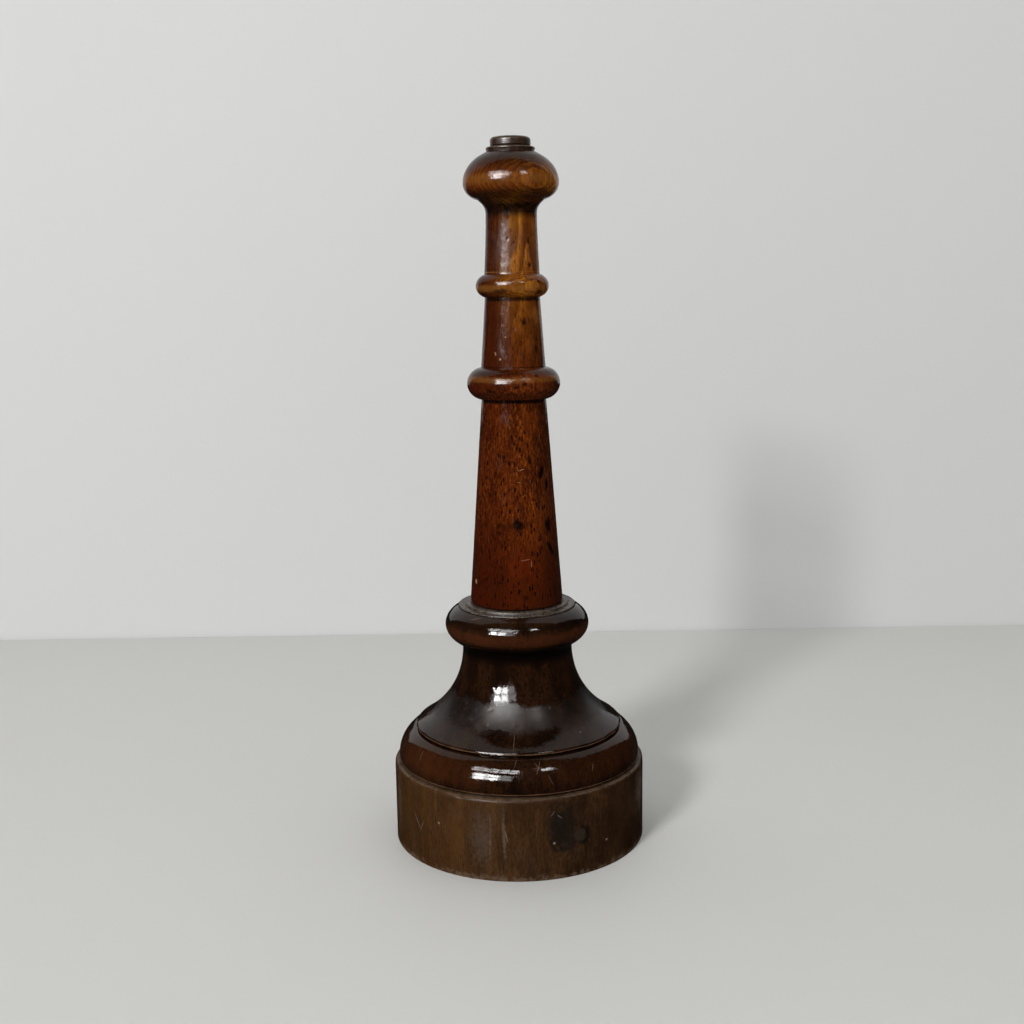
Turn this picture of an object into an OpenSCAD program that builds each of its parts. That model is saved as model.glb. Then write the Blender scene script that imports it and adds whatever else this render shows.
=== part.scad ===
// Large turned-wood pepper mill.
// A receiver cup stands on the table and catches the pepper. The bell body drops
// into it and holds the peppercorns and the iron grinder. The tall column is the
// crank: it turns on the seat collar, drives a square spindle through an iron plate,
// and the stepped button on top is the nut that draws the spindle up for a finer grind.
// Millimetres, +Z up, origin at the centre of the cup's foot, axis of turning on Z.

/* [Whole mill] */
// Height from the table to the top of the finial nut
total_h = 400; // [396:1:404]

/* [Receiver cup] */
// Radius of the cup's outside
cup_r = 73.2; // [72.5:0.1:74.5]
// Height of the cup's rim
cup_h = 47; // [44:0.5:47]
// Thickness of the cup's wall at its mouth
cup_wall = 12.9; // [12:0.1:13]
// Thickness of the cup's floor
cup_floor = 8; // [6:0.5:12]
// Rounding of the rim's outer edge
rim_round = 2.4; // [0.5:0.1:3]
// Rounding of the foot's edge
foot_round = 0.5; // [0.3:0.1:2]

/* [Bell body] */
// Largest radius of the quarter-round moulding above the cup
ovolo_r = 70.5; // [69.5:0.1:71.5]
// Radius of the sharp lower edge of the bell, above the groove
bell_r = 60.1; // [59.5:0.1:61]
// Radius of the neck under the torus
neck_r = 31.8; // [31:0.1:33]
// Largest radius of the torus
torus_r = 41.7; // [41:0.1:43]
// Height of the middle of the torus
torus_z = 127; // [126.5:0.1:127.5]
// Radius of the pepper chamber and the neck bore
chamber_r = 21; // [20.8:0.1:21.5]
// Depth of the spigot that drops into the cup
spigot_h = 12; // [10:0.5:13]

/* [Seat collar] */
// Outside radius of the collar let into the top of the torus
collar_r = 33.9; // [33.5:0.1:34]
// Height of the face that the column turns on
collar_top = 139.7; // [139.6:0.1:140.2]

/* [Column] */
// Radius of the column's foot
foot_r = 26.8; // [26:0.1:27.5]
// Radius of the shaft where it meets the lower ring
shaft_mid_r = 18.3; // [18:0.1:19]
// Height of the middle of the lower ring
ring_low_z = 265.9; // [262:0.1:268]
// Largest radius of the lower ring
ring_low_r = 26.4; // [25.5:0.1:27]
// Height of the middle of the upper ring
ring_top_z = 319.9; // [318:0.1:322]
// Largest radius of the upper ring
ring_top_r = 20.6; // [20:0.1:21.5]
// Radius of the shaft under the knob
throat_r = 14.4; // [14:0.1:15]
// Largest radius of the knob
knob_r = 26.7; // [26:0.1:27.5]
// Height of the knob's widest line
knob_z = 375.6; // [375:0.1:376.5]

/* [Finial] */
// Radius of the finial washer
washer_r = 13.6; // [13:0.1:14]
// Thickness of the finial washer
washer_h = 2.7; // [2.4:0.1:3]
// Radius of the finial nut
nut_r = 11.2; // [10.5:0.1:12]

/* [Grinder] */
// Width across the flats of the square spindle
spindle_sq = 7; // [6.5:0.1:7]
// Radius of the round lower end of the spindle
spindle_r = 4; // [3.8:0.1:4.2]
// Pitch of the finial nut's thread
thread_pitch = 1; // [0.8:0.1:1.25]
// Ribs inside the grinding ring
ring_teeth = 24; // [12:1:24]
// Ridges on the grinding cone
cone_teeth = 12; // [8:1:16]
// Coils of the spindle spring
spring_turns = 4; // [3:1:5]

/* [Hidden] */
$fn = 96;
eps = 0.01;

// clearances
slip = 0.3;         // between turned wood pieces that lift or turn on each other
seat_gap = 0.2;     // under a shoulder that rests on another piece
snug = 0.04;        // between pieces fixed to each other

// receiver cup
cup_in = cup_r - cup_wall;
foot_recess_r = cup_r - 8;
foot_recess_h = 1.2;

// bell body, from the spigot up
spigot_r = cup_in - slip;
spigot_z = cup_h - spigot_h;
shoulder_z = cup_h + seat_gap;
fillet_r = ovolo_r - 1.3;
fillet_h = 0.9;
ovolo_z = 50.2;
ovolo_a = 20.1;
ovolo_b = 18.4;
groove_z = 65.6;
groove_h = 1.5;
groove_r = bell_r - 1.1;
bell_z = groove_z + groove_h;
nose_r = 1.8;
nose_angle = 59;
neck_z = 114.5;
torus_a = 15.7;
torus_b = 12;
collar_seat_z = 134;

// grinder, hung in the underside of the body
ring_z = 40;
ring_h = 26;
ring_r = 24;
flange_r = 30;
flange_t = 2;
recess_r = flange_r + 1;
bridge_t = 2.5;
bridge_z = ring_z + ring_h;
chamber_z = bridge_z + bridge_t + snug;
rivet_r = 1.3;
ring_in_low = 18.6;
ring_in_mid = 17.2;
ring_in_top = 19.6;
rivet_at = (ring_r + ring_in_top) / 2;
ring_screw_at = 27;
ring_screws_n = 3;
cone_z = ring_z + 1;
cone_h = 13;
cone_r = 16.8;
cone_top_r = 12.3;
cone_washer_t = 1;
spring_washer_t = 1;
spring_r = 6;
wire_r = 0.6;
pin_r = 1;

// column and what it carries
tenon_r = chamber_r - slip;
tenon_z = 112;
column_z = collar_top + seat_gap;
column_bore = 5.6;
shaft_top_r = throat_r + 1.2;
ring_low_a = 9.5;
ring_low_b = 9.15;
ring_top_a = 7.9;
ring_top_b = 6.85;
throat_z = 359.2;
cove_r = 7.8;
cove_sweep = 55;
knob_low_a = 10.9;
knob_low_b = 9.4;
knob_up_a = 23;
knob_up_b = 18.25;
knob_top_z = 391.9;
plate_r = 15;
plate_t = 2.5;
plate_screw_at = 10.5;
washer_z = knob_top_z + snug;
washer_top = washer_z + washer_h;
washer_pin_at = 9.2;
washer_pin_r = 0.8;
nut_z = washer_top + seat_gap;
nut_edge = 2;
nut_cavity_z = total_h - 1.9;
thread_r = 3.3;
thread_z = 384;
spindle_z = ring_z - 3.5;
spindle_top = total_h - 3.5;
square_z = bridge_z + bridge_t + 1.5;

walnut_dark = "#2a1710";
mahogany = "#7a3a1a";
cup_brown = "#4f3624";
finial_brown = "#3d2a22";
iron = "#5b5d60";
steel = "#9a9c9f";
brass = "#b48a44";

// points along an elliptical arc, from angle a0 to a1
function arc(cx, cz, rx, rz, a0, a1, n) =
    [for (i = [0:n]) let (a = a0 + (a1 - a0) * i / n) [cx + rx * cos(a), cz + rz * sin(a)]];

// points along a cubic curve from p0 to p3, leaving towards p1 and arriving from p2
function curve(p0, p1, p2, p3, n) =
    [for (i = [0:n]) let (t = i / n, u = 1 - t)
        u*u*u * p0 + 3*u*u*t * p1 + 3*u*t*t * p2 + t*t*t * p3];

// angle on an elliptical arc at which it reaches the height z or the radius x
function angle_at_z(cz, rz, z) = asin((z - cz) / rz);
function angle_at_x(cx, rx, x) = acos((x - cx) / rx);

// A solid of turning from its half outline
module turned(outline) rotate_extrude() polygon(outline);

// A plain ring
module ring(r_out, r_in, z, h) {
    translate([0, 0, z]) difference() {
        cylinder(r = r_out, h = h);
        translate([0, 0, -eps]) cylinder(r = r_in, h = h + 2 * eps);
    }
}

// A slotted round-head wood screw: head up, underside of the head at z = 0
module wood_screw(head_r, head_h, shank_r, length, threads) {
    tip = 2 * shank_r;
    pitch = (length - tip - 1) / threads;
    difference() {
        turned(concat(
            [[0, -length], [shank_r * 0.7, -length + tip]],
            [for (i = [0:threads - 1]) each [
                [shank_r, -length + tip + (i + 0.3) * pitch],
                [shank_r * 0.75, -length + tip + (i + 0.9) * pitch]]],
            [[shank_r, -1], [shank_r, 0]],
            arc(0, 0, head_r, head_h, 0, 90, 10)));
        translate([-head_r, -0.4, head_h * 0.5]) cube([2 * head_r, 0.8, head_h]);
    }
}

// Turned cup that stands on the table and catches the pepper
module receiver_cup() {
    color(cup_brown) turned(concat(
        [[0, foot_recess_h], [foot_recess_r - 1.5, foot_recess_h], [foot_recess_r, 0]],
        arc(cup_r - foot_round, foot_round, foot_round, foot_round, -90, 0, 6),
        arc(cup_r - rim_round, cup_h - rim_round, rim_round, rim_round, 0, 90, 8),
        [[cup_in, cup_h]],
        arc(cup_in - 6, cup_floor + 6, 6, 6, 0, -90, 8),
        [[0, cup_floor]]));
}

// Half outline of the outside of the body, from the shoulder up to the collar's seat
function body_outside() = concat(
    [[fillet_r, shoulder_z], [fillet_r, shoulder_z + fillet_h]],
    arc(ovolo_r - ovolo_a, ovolo_z, ovolo_a, ovolo_b,
        angle_at_z(ovolo_z, ovolo_b, shoulder_z + fillet_h), angle_at_z(ovolo_z, ovolo_b, groove_z), 18),
    [[groove_r, groove_z + 0.3], [groove_r, bell_z - 0.3]],
    arc(bell_r - nose_r, bell_z, nose_r, nose_r, 0, nose_angle, 6),
    let (nose = [bell_r - nose_r + nose_r * cos(nose_angle), bell_z + nose_r * sin(nose_angle)])
    curve(nose, nose + 22.5 * [-sin(nose_angle), cos(nose_angle)],
          [neck_r, neck_z - 18], [neck_r, neck_z], 30),
    [[neck_r + 0.4, neck_z + 1.1]],
    arc(torus_r - torus_a, torus_z, torus_a, torus_b,
        -angle_at_x(torus_r - torus_a, torus_a, neck_r + 1.6),
        angle_at_x(torus_r - torus_a, torus_a, collar_r + snug), 30));

// Turned body: spigot, quarter-round moulding, bell, neck and torus in one piece of wood,
// bored through for the peppercorns and counterbored from below for the grinder
module bell_body() {
    color(walnut_dark) difference() {
        turned(concat(
            [[chamber_r, chamber_z], [ring_r + snug, chamber_z], [ring_r + snug, ring_z + flange_t],
             [recess_r, ring_z + flange_t], [recess_r, spigot_z],
             [spigot_r - 1, spigot_z], [spigot_r, spigot_z + 1], [spigot_r, shoulder_z]],
            body_outside(),
            [[collar_r + snug, collar_seat_z], [chamber_r, collar_seat_z]]));
        for (i = [0:ring_screws_n - 1]) rotate(i * 360 / ring_screws_n)
            translate([ring_screw_at, 0, ring_z]) cylinder(r = 1.55, h = 14, $fn = 24);
    }
}

// Turned ring let into the top of the torus, stepped, that the column turns on
module seat_collar() {
    step_z = collar_top - 1.1;
    step_r = 30;
    edge = 0.8;
    color(walnut_dark) turned(concat(
        [[tenon_r + slip + 0.3, collar_seat_z + snug], [collar_r, collar_seat_z + snug]],
        arc(collar_r - edge, step_z - edge, edge, edge, 0, 90, 6),
        [[step_r, step_z - 0.1], [step_r - 0.2, collar_top - 0.3], [step_r - 0.6, collar_top],
         [tenon_r + slip + 0.3, collar_top]]));
}

// Iron ring with ribs inside and a flange screwed to the underside of the body
module grinding_ring() {
    color(iron) difference() {
        union() {
            turned([[ring_in_low, ring_z], [flange_r, ring_z], [flange_r, ring_z + flange_t - snug],
                    [ring_r, ring_z + flange_t - snug], [ring_r, ring_z + ring_h],
                    [ring_in_top, ring_z + ring_h], [ring_in_top, ring_z + 19],
                    [ring_in_mid, ring_z + 12], [ring_in_mid, ring_z + 10]]);
            for (i = [0:ring_teeth - 1]) rotate(i * 360 / ring_teeth)
                translate([18.9, 0, ring_z + 0.5]) cylinder(r = 0.8, h = 10, $fn = 16);
        }
        for (i = [0:ring_screws_n - 1]) rotate(i * 360 / ring_screws_n)
            translate([ring_screw_at, 0, ring_z - 1]) cylinder(r = 1.7, h = flange_t + 2, $fn = 24);
        for (s = [-1, 1])
            translate([s * rivet_at, 0, ring_z + ring_h - 6]) cylinder(r = rivet_r + snug, h = 7, $fn = 24);
    }
}

// The round-head screws that hold the grinding ring, heads down in the recess
module ring_screws() {
    color(steel) for (i = [0:ring_screws_n - 1]) rotate(i * 360 / ring_screws_n)
        translate([ring_screw_at, 0, ring_z - snug]) rotate([180, 0, 30])
            wood_screw(2.7, 1.7, 1.45, 13, 6);
}

// Iron strap across the top of the grinding ring, which guides the spindle
module spindle_bridge() {
    boss_r = 7.5;
    arm_w = 8;
    color(iron) difference() {
        union() {
            translate([0, 0, bridge_z]) cylinder(r = boss_r, h = bridge_t);
            intersection() {
                translate([-ring_r, -arm_w / 2, bridge_z]) cube([2 * ring_r, arm_w, bridge_t]);
                translate([0, 0, bridge_z]) cylinder(r = ring_r - 0.1, h = bridge_t);
            }
        }
        translate([0, 0, bridge_z - 1]) cylinder(r = spindle_r + 0.1, h = bridge_t + 2);
        for (s = [-1, 1])
            translate([s * rivet_at, 0, bridge_z - 1]) cylinder(r = rivet_r + snug, h = bridge_t + 2, $fn = 24);
    }
}

// Rivets that hold the bridge down on the grinding ring
module bridge_rivets() {
    color(steel) for (s = [-1, 1]) translate([s * rivet_at, 0, ring_z + ring_h - 5.8])
        cylinder(r = rivet_r, h = 5.8 + bridge_t - 0.1, $fn = 32);
}

// Brass washer that the spring bears on, under the bridge
module spring_washer() {
    color(brass) ring(spring_r + 1.6, spindle_r + 0.15, bridge_z - spring_washer_t - 0.05, spring_washer_t);
}

// Compression spring between the bridge and the grinding cone, which opens the grind
module spindle_spring() {
    z0 = cone_z + cone_h + cone_washer_t + wire_r + 0.05;
    z1 = bridge_z - spring_washer_t - wire_r - 0.15;
    steps = 16 * spring_turns;
    sides = 8;
    points = [for (i = [0:steps], j = [0:sides - 1])
        let (a = 360 * spring_turns * i / steps, b = 360 * j / sides,
             r = spring_r + wire_r * cos(b), z = z0 + (z1 - z0) * i / steps + wire_r * sin(b))
        [r * cos(a), r * sin(a), z]];
    walls = [for (i = [0:steps - 1], j = [0:sides - 1])
        let (k = (j + 1) % sides)
        [i * sides + j, (i + 1) * sides + j, (i + 1) * sides + k, i * sides + k]];
    start = [[for (j = [0:sides - 1]) j]];
    end = [[for (j = [sides - 1:-1:0]) steps * sides + j]];
    color(steel) polyhedron(points, concat(walls, start, end));
}

// Iron spindle: round below, square through the column, threaded at the top
module spindle() {
    neck = 0.5;
    threads = floor((spindle_top - 0.8 - thread_z) / thread_pitch);
    color(iron) difference() {
        union() {
            translate([0, 0, spindle_z]) cylinder(r = spindle_r, h = square_z - spindle_z + eps);
            translate([-spindle_sq / 2, -spindle_sq / 2, square_z])
                cube([spindle_sq, spindle_sq, thread_z - square_z]);
            turned(concat(
                [[0, thread_z - neck]],
                [for (i = [0:threads - 1]) each [
                    [thread_r - neck, thread_z - neck + i * thread_pitch],
                    [thread_r, thread_z - neck + (i + 0.5) * thread_pitch]]],
                [[thread_r - neck, spindle_top - 0.8], [thread_r - neck, spindle_top - 0.3],
                 [thread_r - 1, spindle_top], [0, spindle_top]]));
        }
        translate([-2 * spindle_r, 0, spindle_z + 2]) rotate([0, 90, 0])
            cylinder(r = pin_r + snug, h = 4 * spindle_r, $fn = 24);
    }
}

// Iron cone with slanting ridges, fixed on the spindle
module grinding_cone() {
    ridge_r = 1.2;
    slope = atan((cone_r - cone_top_r) / cone_h);
    color(iron) difference() {
        union() {
            turned([[0, cone_z], [cone_r - 0.4, cone_z], [cone_r, cone_z + 0.4],
                    [cone_top_r, cone_z + cone_h - 1], [cone_top_r - 1, cone_z + cone_h], [0, cone_z + cone_h]]);
            for (i = [0:cone_teeth - 1]) rotate(i * 360 / cone_teeth)
                translate([cone_r - ridge_r + 0.1, 0, cone_z + 1]) rotate([12, -slope, 0])
                    cylinder(r = ridge_r, h = cone_h - 2.5, $fn = 16);
        }
        translate([0, 0, cone_z - 1]) cylinder(r = spindle_r + snug, h = cone_h + 2);
    }
}

// Steel washer between the cone and the spring
module cone_washer() {
    color(steel) ring(spring_r + 2, spindle_r + snug, cone_z + cone_h, cone_washer_t);
}

// Cross pin through the spindle that holds the cone up
module cone_pin() {
    color(steel) translate([-8, 0, spindle_z + 2]) rotate([0, 90, 0])
        cylinder(r = pin_r, h = 16, $fn = 32);
}

// A ring standing out from the shaft, from the shaft's radius below it to that above it
function shaft_ring(z, r_max, a, b, r_below, r_above) =
    arc(r_max - a, z, a, b, -angle_at_x(r_max - a, a, r_below), angle_at_x(r_max - a, a, r_above), 28);

// Half outline of the outside of the column, from its foot to the top of the knob
function column_outside() = concat(
    [[foot_r - 0.5, column_z], [foot_r, column_z + 0.5]],
    shaft_ring(ring_low_z, ring_low_r, ring_low_a, ring_low_b, shaft_mid_r + 0.1, shaft_mid_r),
    shaft_ring(ring_top_z, ring_top_r, ring_top_a, ring_top_b, shaft_top_r, shaft_top_r),
    curve([shaft_top_r - 0.1, ring_top_z + ring_top_b], [shaft_top_r - 0.6, ring_top_z + ring_top_b + 10],
          [throat_r, throat_z - 12], [throat_r, throat_z], 10),
    arc(throat_r + cove_r, throat_z, cove_r, cove_r, 180, 180 - cove_sweep, 10),
    arc(knob_r - knob_low_a, knob_z, knob_low_a, knob_low_b, -75, 0, 16),
    arc(knob_r - knob_up_a, knob_z, knob_up_a, knob_up_b, 4,
        angle_at_z(knob_z, knob_up_b, knob_top_z), 18));

// Turned column that is the mill's crank: tenon, tapered shaft, two rings and the knob,
// bored through for the spindle
module column() {
    color(mahogany) difference() {
        turned(concat(
            [[column_bore, tenon_z], [tenon_r - 1, tenon_z], [tenon_r, tenon_z + 1], [tenon_r, column_z]],
            column_outside(),
            [[column_bore, knob_top_z]]));
        for (s = [-1, 1]) translate([0, s * plate_screw_at, tenon_z - 1])
            cylinder(r = 1.55, h = 12, $fn = 24);
        for (s = [-1, 1]) translate([s * washer_pin_at, 0, knob_top_z - 6])
            cylinder(r = washer_pin_r + snug, h = 7, $fn = 24);
    }
}

// Iron plate under the tenon, with the square hole that drives the spindle
module drive_plate() {
    hole = spindle_sq + 0.4;
    color(iron) difference() {
        translate([0, 0, tenon_z - plate_t - snug]) cylinder(r = plate_r, h = plate_t);
        translate([-hole / 2, -hole / 2, tenon_z - plate_t - 1]) cube([hole, hole, plate_t + 2]);
        for (s = [-1, 1]) translate([0, s * plate_screw_at, tenon_z - plate_t - 1])
            cylinder(r = 1.7, h = plate_t + 2, $fn = 24);
    }
}

// Round-head screws that hold the drive plate under the tenon
module drive_screws() {
    color(steel) for (s = [-1, 1])
        translate([0, s * plate_screw_at, tenon_z - plate_t - 2 * snug]) rotate([180, 0, 40])
            wood_screw(2.7, 1.7, 1.45, 12, 5);
}

// Dark washer on top of the knob that the finial nut turns on
module finial_washer() {
    edge = 0.9;
    color(finial_brown) difference() {
        turned(concat(
            [[5.4, washer_z], [washer_r - 0.4, washer_z]],
            arc(washer_r - edge, washer_z + washer_h - edge, edge, edge, -40, 90, 8),
            [[5.4, washer_top]]));
        for (s = [-1, 1]) translate([s * washer_pin_at, 0, washer_z - 1])
            cylinder(r = washer_pin_r + snug, h = 2.5, $fn = 24);
    }
}

// Blind pins that stop the washer from turning on the knob
module washer_pins() {
    color(steel) for (s = [-1, 1]) translate([s * washer_pin_at, 0, knob_top_z - 5.8])
        cylinder(r = washer_pin_r, h = 7.2, $fn = 24);
}

// Stepped button that is screwed down on the spindle and sets the grind
module finial_nut() {
    color(finial_brown) turned(concat(
        [[5.2, nut_z], [nut_r - 0.8, nut_z], [nut_r, nut_z + 0.8]],
        arc(nut_r - nut_edge, total_h - nut_edge, nut_edge, nut_edge, 0, 80, 8),
        [[nut_r - nut_edge - 1.5, total_h - 0.25], [0, total_h],
         [0, nut_cavity_z], [4.4, nut_cavity_z], [5.2, nut_cavity_z - 0.8]]));
}

// Threaded brass insert pressed into the finial nut
module nut_insert() {
    color(brass) ring(5.16, thread_r + 0.1, nut_z + 0.1, nut_cavity_z - 0.9 - nut_z - 0.1);
}

receiver_cup();
bell_body();
seat_collar();
grinding_ring();
ring_screws();
spindle_bridge();
bridge_rivets();
spring_washer();
spindle_spring();
spindle();
grinding_cone();
cone_washer();
cone_pin();
column();
drive_plate();
drive_screws();
finial_washer();
washer_pins();
finial_nut();
nut_insert();
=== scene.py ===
import math
import random

import bpy
from mathutils import Matrix, Vector, noise


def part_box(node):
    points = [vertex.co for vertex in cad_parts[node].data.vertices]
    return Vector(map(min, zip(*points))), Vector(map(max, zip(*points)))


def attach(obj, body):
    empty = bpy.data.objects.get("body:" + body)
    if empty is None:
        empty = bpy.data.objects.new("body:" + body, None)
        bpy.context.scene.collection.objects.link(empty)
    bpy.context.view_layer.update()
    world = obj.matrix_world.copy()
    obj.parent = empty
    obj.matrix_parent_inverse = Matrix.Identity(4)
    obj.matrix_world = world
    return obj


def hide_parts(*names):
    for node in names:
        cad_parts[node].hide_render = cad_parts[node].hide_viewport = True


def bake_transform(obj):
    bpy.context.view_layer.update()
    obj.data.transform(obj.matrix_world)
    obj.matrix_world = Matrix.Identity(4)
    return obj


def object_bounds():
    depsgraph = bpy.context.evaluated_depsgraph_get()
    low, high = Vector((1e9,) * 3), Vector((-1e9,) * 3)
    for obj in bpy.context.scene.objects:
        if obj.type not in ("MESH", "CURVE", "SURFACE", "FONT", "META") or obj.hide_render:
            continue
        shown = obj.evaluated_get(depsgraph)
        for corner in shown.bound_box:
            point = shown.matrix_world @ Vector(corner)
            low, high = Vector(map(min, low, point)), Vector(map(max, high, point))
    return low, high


# A large turned-wood pepper mill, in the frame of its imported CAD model.
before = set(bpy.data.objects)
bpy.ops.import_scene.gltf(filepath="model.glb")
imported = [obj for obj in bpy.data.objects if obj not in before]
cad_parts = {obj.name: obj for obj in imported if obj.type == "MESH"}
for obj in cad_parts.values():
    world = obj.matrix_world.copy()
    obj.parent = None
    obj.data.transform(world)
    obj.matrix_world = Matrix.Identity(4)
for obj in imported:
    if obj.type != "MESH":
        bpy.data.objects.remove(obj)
cad_low, cad_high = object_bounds()


# --- Receiver cup -------------------------------------------------------------------
# The plinth is a cup turned from one block of brown hardwood, oiled and worn nearly matt.
# It catches the ground pepper, and the bell body's spigot drops into its mouth.

mm = 0.001
cup_r, cup_h = 73.2, 47
cup_in, cup_floor = 60.3, 8
rim_round, foot_round, corner_round = 2.4, 0.5, 6
recess_r, recess_h = 63.7, 1.2


def arc(cx, cz, rx, rz, start, end, count):
    """Points along an elliptical arc, between two angles in degrees."""
    angles = [math.radians(start + (end - start) * i / count) for i in range(count + 1)]
    return [(cx + rx * math.cos(a), cz + rz * math.sin(a)) for a in angles]


def filled(points, step):
    """The same run of points with more between them, so that none are further apart than step."""
    run = [points[0]]
    for (r0, z0), (r1, z1) in zip(points, points[1:]):
        parts = max(1, math.ceil(math.hypot(r1 - r0, z1 - z0) / step))
        run += [(r0 + (r1 - r0) * i / parts, z0 + (z1 - z0) * i / parts) for i in range(1, parts + 1)]
    return run


def smooth(value, low, high):
    """From 0 at low to 1 at high, with soft ends."""
    t = min(1.0, max(0.0, (value - low) / (high - low)))
    return t * t * (3 - 2 * t)


def new_piece(name, verts, faces, sharp_degrees):
    """A smooth-shaded mesh object, with edges sharper than an angle kept sharp."""
    mesh = bpy.data.meshes.new(name)
    mesh.from_pydata(verts, [], faces)
    mesh.shade_smooth()
    mesh.set_sharp_from_angle(angle=math.radians(sharp_degrees))
    piece = bpy.data.objects.new(name, mesh)
    bpy.context.scene.collection.objects.link(piece)
    return piece


def turned(name, outside, inside, sides, lost):
    """A closed solid of turning, in mm: outside and inside are runs of (radius, height) that
    meet end to end, and lost says how far the outside has worn in at a point."""
    loop = outside + inside
    verts, rings, faces = [], [], []
    for i, (r, z) in enumerate(loop):
        (r0, z0), (r1, z1) = loop[i - 1], loop[(i + 1) % len(loop)]
        away = Vector((z1 - z0, r0 - r1)).normalized()
        ring = []
        for k in range(sides if r > 0.01 else 1):
            a = 2 * math.pi * k / sides
            c, s = math.cos(a), math.sin(a)
            depth = lost(Vector((r * c, r * s, z))) if i < len(outside) else 0.0
            out = r - depth * away.x
            ring.append(len(verts))
            verts.append((out * c * mm, out * s * mm, (z - depth * away.y) * mm))
        rings.append(ring)
    for low, high in zip(rings, rings[1:] + rings[:1]):
        if len(low) == 1 and len(high) == 1:
            continue
        for k in range(sides):
            n = (k + 1) % sides
            if len(low) == 1:
                faces.append((low[0], high[n], high[k]))
            elif len(high) == 1:
                faces.append((low[k], low[n], high[0]))
            else:
                faces.append((low[k], low[n], high[n], high[k]))
    return new_piece(name, verts, faces, 42)


def unevenness(p, size, stretch=1.0):
    """Noise from 0 to 1 with features about size mm across, drawn out along the grain."""
    return 0.5 + 0.5 * noise.noise(Vector((p.x, p.y, p.z / stretch)) / size)


def dents(seed, count, z_low, z_high, radius_at, sizes, depths):
    """Random knocks in a turned surface: (centre, radius, depth) in mm."""
    draw = random.Random(seed)
    made = []
    for _ in range(count):
        a, z = draw.uniform(0, 2 * math.pi), draw.uniform(z_low, z_high)
        r = radius_at(z)
        centre = Vector((r * math.cos(a), r * math.sin(a), z))
        made.append((centre, draw.uniform(*sizes), draw.uniform(*depths)))
    return made


def dented(p, knocks):
    """How deep the knocks go at a point."""
    deep = 0.0
    for centre, size, depth in knocks:
        if abs(p.z - centre.z) < size and (p - centre).length < size:
            deep = max(deep, depth * (1 - ((p - centre).length / size) ** 2) ** 2)
    return deep


def new_node(tree, kind, inputs=None, **settings):
    """A shader node; inputs maps a socket's name or number to a value or a socket that feeds it."""
    made = tree.nodes.new(kind)
    for label, value in settings.items():
        setattr(made, label, value)
    for label, value in (inputs or {}).items():
        if isinstance(value, bpy.types.NodeSocket):
            tree.links.new(value, made.inputs[label])
        else:
            made.inputs[label].default_value = value
    return made


def calc(tree, operation, a, b=0.0, clamp=False):
    """The result of one Math node."""
    made = new_node(tree, "ShaderNodeMath", {0: a, 1: b}, operation=operation, use_clamp=clamp)
    return made.outputs[0]


def times(tree, a, b):
    return calc(tree, "MULTIPLY", a, b)


def plus(tree, a, b):
    return calc(tree, "ADD", a, b)


def minus(tree, a, b):
    return calc(tree, "SUBTRACT", a, b)


def length(tree, a, b):
    """The length of a step of a one way and b across it."""
    return calc(tree, "SQRT", plus(tree, times(tree, a, a), times(tree, b, b)))


def ramp(tree, value, low, high, to_low=0.0, to_high=1.0):
    """A value carried smoothly from one range to another."""
    made = new_node(
        tree,
        "ShaderNodeMapRange",
        {"Value": value, "From Min": low, "From Max": high, "To Min": to_low, "To Max": to_high},
        interpolation_type="SMOOTHSTEP",
    )
    return made.outputs[0]


def mix(tree, amount, first, second, mode="MIX"):
    """Two colours mixed."""
    made = tree.nodes.new("ShaderNodeMix")
    made.data_type = "RGBA"
    made.blend_type = mode
    made.clamp_factor = True
    for socket, value in ((made.inputs[0], amount), (made.inputs[6], first), (made.inputs[7], second)):
        if isinstance(value, bpy.types.NodeSocket):
            tree.links.new(value, socket)
        else:
            socket.default_value = value if isinstance(value, (int, float)) else (*value, 1)
    return made.outputs[2]


def new_group(name, inputs, outputs):
    """An empty shader node group of plain numbers, with its input and output sockets."""
    tree = bpy.data.node_groups.new(name, "ShaderNodeTree")
    for label, value in inputs.items():
        socket = tree.interface.new_socket(label, in_out="INPUT", socket_type="NodeSocketFloat")
        socket.default_value = value
    for label in outputs:
        tree.interface.new_socket(label, in_out="OUTPUT", socket_type="NodeSocketFloat")
    return tree, tree.nodes.new("NodeGroupInput").outputs, tree.nodes.new("NodeGroupOutput").inputs


def placed(tree, group, **values):
    """A node group placed in a material with its own values; an underscore in a name is a space."""
    made = tree.nodes.new("ShaderNodeGroup")
    made.node_tree = group
    for label, value in values.items():
        socket = made.inputs[label.replace("_", " ")]
        if isinstance(value, bpy.types.NodeSocket):
            tree.links.new(value, socket)
        else:
            socket.default_value = value
    return made.outputs


def place_in_mm(tree, stretch=1.0):
    """Where a point of the piece lies, in mm, with the height shortened to draw a pattern out."""
    where = new_node(tree, "ShaderNodeTexCoord").outputs["Object"]
    scale = (1 / mm, 1 / mm, 1 / mm / stretch)
    made = new_node(tree, "ShaderNodeVectorMath", {0: where, 1: scale}, operation="MULTIPLY")
    return made.outputs[0]


def axes_in_mm(tree):
    """The three parts of the place: right, back and up."""
    return new_node(tree, "ShaderNodeSeparateXYZ", {0: place_in_mm(tree)}).outputs


def blur(tree, vector, size, detail=2.0, roughness=0.5):
    """Noise with features about size mm across."""
    made = new_node(
        tree,
        "ShaderNodeTexNoise",
        {"Vector": vector, "Scale": 1 / size, "Detail": detail, "Roughness": roughness},
    )
    return made.outputs[0]


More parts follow.
